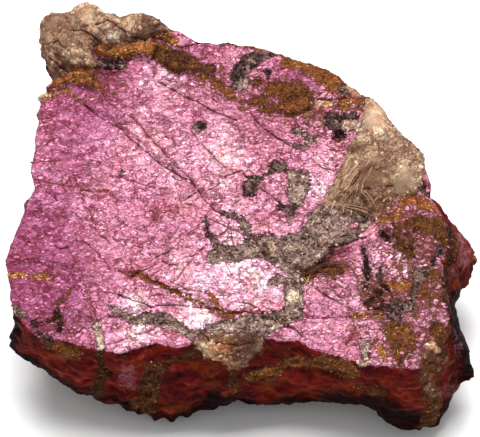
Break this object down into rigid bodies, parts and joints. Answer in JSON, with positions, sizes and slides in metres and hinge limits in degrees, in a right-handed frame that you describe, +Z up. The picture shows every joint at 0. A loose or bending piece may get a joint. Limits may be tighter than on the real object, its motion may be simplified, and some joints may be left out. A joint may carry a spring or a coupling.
{
  "type": "purpurite hand specimen",
  "caption": "Rough slab-like lump of purpurite with a satin pink cleavage face, grey and ochre veins and tan feldspar lumps, lying face up on a small flat spot.",
  "frame": {"origin": "bottom centre of the stone's box, on the surface that it lies on", "axes": "+X along the stone's length, +Y away from the broken front side, +Z up out of the pink face"},
  "size_m": [0.1086, 0.0963, 0.0404],
  "materials": {
    "purpurite": "satin cleavage face, matt broken sides"
  },
  "bodies": {
    "root": {"purpurite": "purpurite"}
  },
  "joints": []
}
